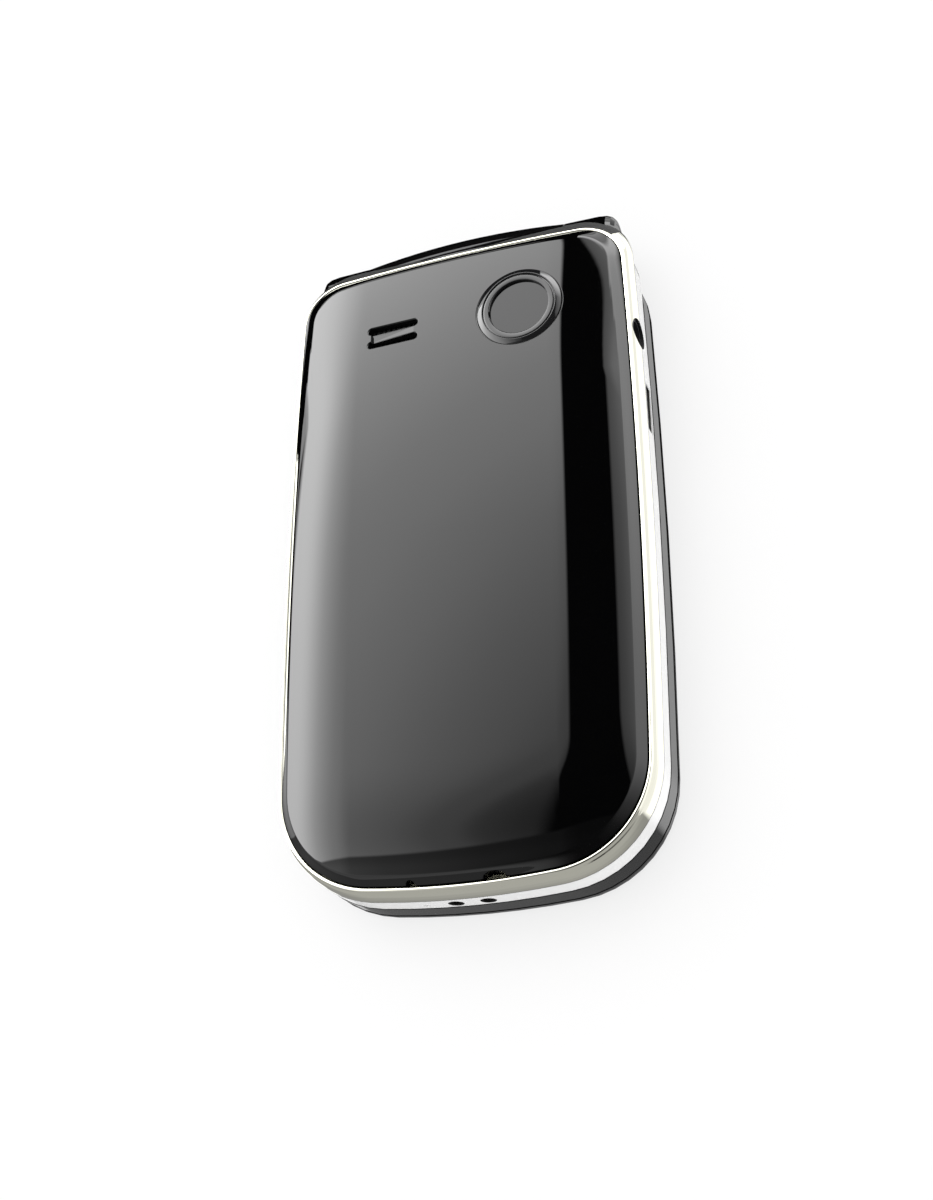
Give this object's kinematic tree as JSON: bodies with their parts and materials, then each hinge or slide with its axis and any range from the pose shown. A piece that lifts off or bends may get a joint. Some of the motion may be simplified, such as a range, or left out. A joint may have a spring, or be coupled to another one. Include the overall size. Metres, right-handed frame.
{
  "type": "feature phone",
  "caption": "Folding keypad phone: crowned gloss rear cover with camera ring and speaker slots, polished trim band, white keypad housing and a dark lid on a barrel hinge.",
  "frame": {"origin": "on the flat outer face of the lid, below the middle of the rear cover lip outline, phone folded shut", "axes": "+X towards the long side with the headset and charging sockets, +Y towards the hinge end, +Z out of the rear cover"},
  "size_m": [0.0536, 0.1023, 0.0169],
  "materials": {
    "battery_wrap": "satin",
    "board": "solder resist",
    "bumper_rubber": "matt",
    "camera_glass": "clear, coated",
    "card_plastic": "satin",
    "contact_gold": "plated",
    "dark_plastic": "fine texture",
    "display_dark": "display glass",
    "dome_metal": "satin",
    "gloss_black": "mirror gloss",
    "hinge_steel": "turned",
    "key_green": "satin gloss",
    "key_red": "satin gloss",
    "key_white": "satin gloss",
    "membrane_rubber": "matt",
    "mesh_metal": "fine mesh",
    "nav_silver": "metallic paint",
    "ring_chrome": "dark polished",
    "screw_steel": "plated",
    "tin_metal": "satin",
    "trim_chrome": "polished, warm tint",
    "weight_metal": "sintered",
    "white_gloss": "gloss",
    "window_dark": "clear window printed black"
  },
  "bodies": {
    "lid": {"lid_cover": "gloss_black", "lid_outer_window": "window_dark", "outer_display": "display_dark", "lid_inner_housing": "gloss_black", "display_window": "window_dark", "main_display": "display_dark", "earpiece": "dark_plastic", "earpiece_mesh": "mesh_metal", "lid_pcb": "board", "lid_magnet": "screw_steel", "lid_bumpers": "bumper_rubber", "hinge_module": "hinge_steel", "hinge_pin": "hinge_steel"},
    "main_body": {"rear_trim_band": "trim_chrome", "rear_housing": "gloss_black", "front_housing": "white_gloss", "keypad_membrane": "membrane_rubber", "dome_sheet": "dome_metal", "main_pcb": "board", "shield_can": "tin_metal", "battery": "battery_wrap", "battery_contacts": "contact_gold", "sim_holder": "tin_metal", "sim_card": "card_plastic", "loudspeaker": "dark_plastic", "camera_module": "dark_plastic", "headset_jack": "dark_plastic", "usb_socket": "tin_metal", "microphone": "contact_gold", "charging_contacts": "contact_gold", "vibration_motor": "tin_metal", "antenna": "contact_gold", "case_screws": "screw_steel", "hinge_caps": "gloss_black"},
    "cover": {"rear_cover": "gloss_black", "camera_ring": "ring_chrome", "camera_window": "camera_glass", "speaker_mesh": "mesh_metal"},
    "key_1_body": {"key_1": "key_white"},
    "key_2_body": {"key_2": "key_white"},
    "key_3_body": {"key_3": "key_white"},
    "key_4_body": {"key_4": "key_white"},
    "key_5_body": {"key_5": "key_white"},
    "key_6_body": {"key_6": "key_white"},
    "key_7_body": {"key_7": "key_white"},
    "key_8_body": {"key_8": "key_white"},
    "key_9_body": {"key_9": "key_white"},
    "key_star_body": {"key_star": "key_white"},
    "key_0_body": {"key_0": "key_white"},
    "key_hash_body": {"key_hash": "key_white"},
    "key_soft_left_body": {"key_soft_left": "key_white"},
    "key_soft_right_body": {"key_soft_right": "key_white"},
    "key_call_body": {"key_call": "key_green"},
    "key_end_body": {"key_end": "key_red"},
    "nav_ring_body": {"nav_ring": "nav_silver"},
    "ok_key_body": {"ok_key": "nav_silver"},
    "volume_rocker_body": {"volume_rocker": "white_gloss"},
    "vibration_rotor": {"vibration_weight": "weight_metal"}
  },
  "joints": [
    {"name": "lid_hinge", "type": "hinge", "parent": "lid", "child": "main_body", "pos_m": [0, 0.04854, 0.0078], "axis": [-1, 0, 0], "range_deg": [0, 160]},
    {"name": "cover_lift", "type": "slide", "parent": "main_body", "child": "cover", "axis": [0, 0, 1], "range_m": [0, 0.02]},
    {"name": "key_1_press", "type": "slide", "parent": "main_body", "child": "key_1_body", "axis": [0, 0, 1], "range_m": [0, 0.0003], "stiffness_N_per_m": 4000},
    {"name": "key_2_press", "type": "slide", "parent": "main_body", "child": "key_2_body", "axis": [0, 0, 1], "range_m": [0, 0.0003], "stiffness_N_per_m": 4000},
    {"name": "key_3_press", "type": "slide", "parent": "main_body", "child": "key_3_body", "axis": [0, 0, 1], "range_m": [0, 0.0003], "stiffness_N_per_m": 4000},
    {"name": "key_4_press", "type": "slide", "parent": "main_body", "child": "key_4_body", "axis": [0, 0, 1], "range_m": [0, 0.0003], "stiffness_N_per_m": 4000},
    {"name": "key_5_press", "type": "slide", "parent": "main_body", "child": "key_5_body", "axis": [0, 0, 1], "range_m": [0, 0.0003], "stiffness_N_per_m": 4000},
    {"name": "key_6_press", "type": "slide", "parent": "main_body", "child": "key_6_body", "axis": [0, 0, 1], "range_m": [0, 0.0003], "stiffness_N_per_m": 4000},
    {"name": "key_7_press", "type": "slide", "parent": "main_body", "child": "key_7_body", "axis": [0, 0, 1], "range_m": [0, 0.0003], "stiffness_N_per_m": 4000},
    {"name": "key_8_press", "type": "slide", "parent": "main_body", "child": "key_8_body", "axis": [0, 0, 1], "range_m": [0, 0.0003], "stiffness_N_per_m": 4000},
    {"name": "key_9_press", "type": "slide", "parent": "main_body", "child": "key_9_body", "axis": [0, 0, 1], "range_m": [0, 0.0003], "stiffness_N_per_m": 4000},
    {"name": "key_star_press", "type": "slide", "parent": "main_body", "child": "key_star_body", "axis": [0, 0, 1], "range_m": [0, 0.0003], "stiffness_N_per_m": 4000},
    {"name": "key_0_press", "type": "slide", "parent": "main_body", "child": "key_0_body", "axis": [0, 0, 1], "range_m": [0, 0.0003], "stiffness_N_per_m": 4000},
    {"name": "key_hash_press", "type": "slide", "parent": "main_body", "child": "key_hash_body", "axis": [0, 0, 1], "range_m": [0, 0.0003], "stiffness_N_per_m": 4000},
    {"name": "key_soft_left_press", "type": "slide", "parent": "main_body", "child": "key_soft_left_body", "axis": [0, 0, 1], "range_m": [0, 0.0003], "stiffness_N_per_m": 4000},
    {"name": "key_soft_right_press", "type": "slide", "parent": "main_body", "child": "key_soft_right_body", "axis": [0, 0, 1], "range_m": [0, 0.0003], "stiffness_N_per_m": 4000},
    {"name": "key_call_press", "type": "slide", "parent": "main_body", "child": "key_call_body", "axis": [0, 0, 1], "range_m": [0, 0.0003], "stiffness_N_per_m": 4000},
    {"name": "key_end_press", "type": "slide", "parent": "main_body", "child": "key_end_body", "axis": [0, 0, 1], "range_m": [0, 0.0003], "stiffness_N_per_m": 4000},
    {"name": "nav_ring_press", "type": "slide", "parent": "main_body", "child": "nav_ring_body", "axis": [0, 0, 1], "range_m": [0, 0.0003], "stiffness_N_per_m": 4000},
    {"name": "ok_key_press", "type": "slide", "parent": "main_body", "child": "ok_key_body", "axis": [0, 0, 1], "range_m": [0, 0.0003], "stiffness_N_per_m": 4000},
    {"name": "volume_press", "type": "slide", "parent": "main_body", "child": "volume_rocker_body", "axis": [1, 0, 0], "range_m": [0, 0.0003], "stiffness_N_per_m": 4000},
    {"name": "vibration_spin", "type": "hinge", "parent": "main_body", "child": "vibration_rotor", "pos_m": [-0.0209, -0.012, 0.0123], "axis": [0, 1, 0], "continuous": true}
  ]
}
